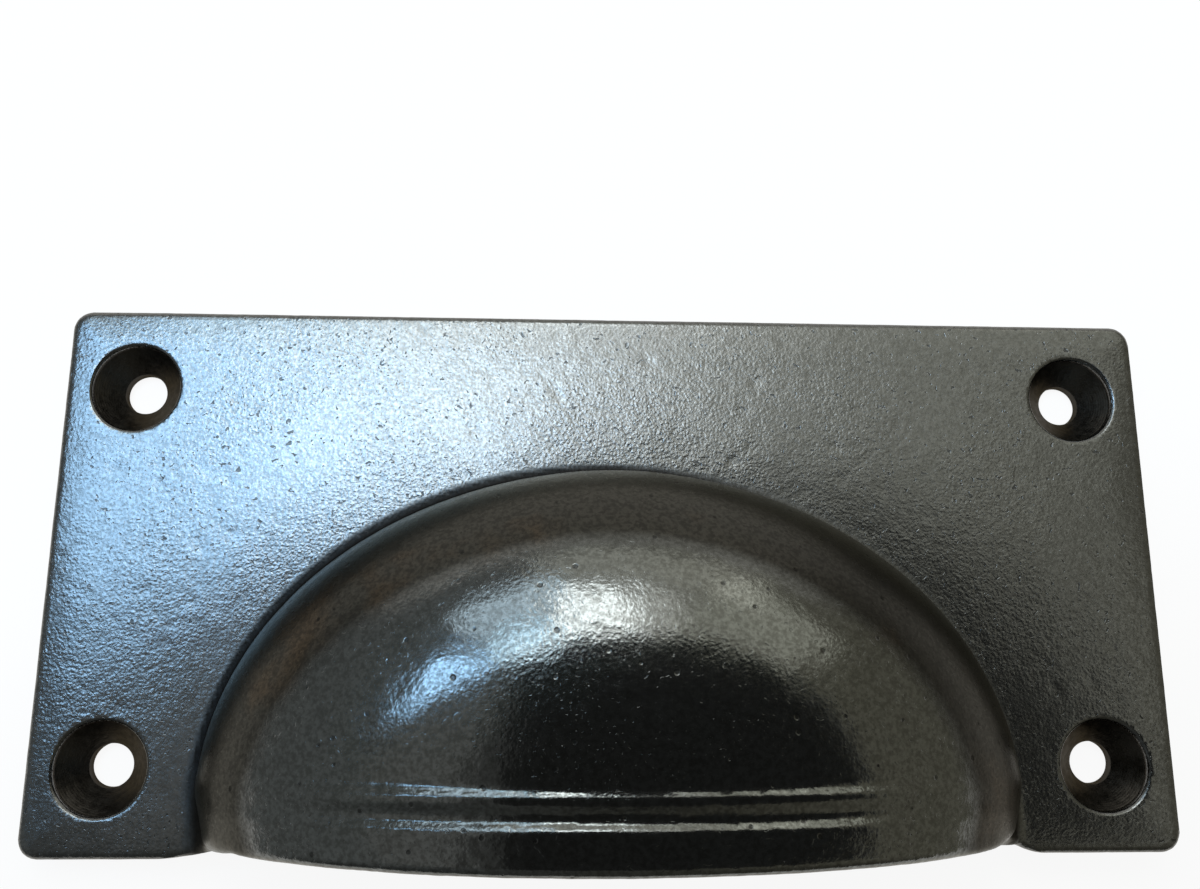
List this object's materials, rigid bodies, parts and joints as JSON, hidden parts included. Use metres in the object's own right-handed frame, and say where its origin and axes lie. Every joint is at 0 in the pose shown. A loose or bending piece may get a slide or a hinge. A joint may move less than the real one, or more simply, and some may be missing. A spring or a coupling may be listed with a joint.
{
  "type": "cup pull",
  "caption": "Cast-iron drawer cup pull: a rectangular plate with countersunk corner screw holes and a hollow domed hood, open below for the fingers, with a reeded lip.",
  "frame": {"origin": "middle of the plate's back face, between the four screw holes", "axes": "+X along the plate's long side, +Y to the plate's upper edge as it is fitted on a drawer front, +Z out of the plate's front face; the pull lies on its back"},
  "size_m": [0.102, 0.049, 0.0233],
  "materials": {
    "black_iron": "blackened and waxed cast iron, semi-gloss, with a fine sand-cast grain and small pits"
  },
  "bodies": {
    "root": {"cup_pull": "black_iron"}
  },
  "joints": []
}
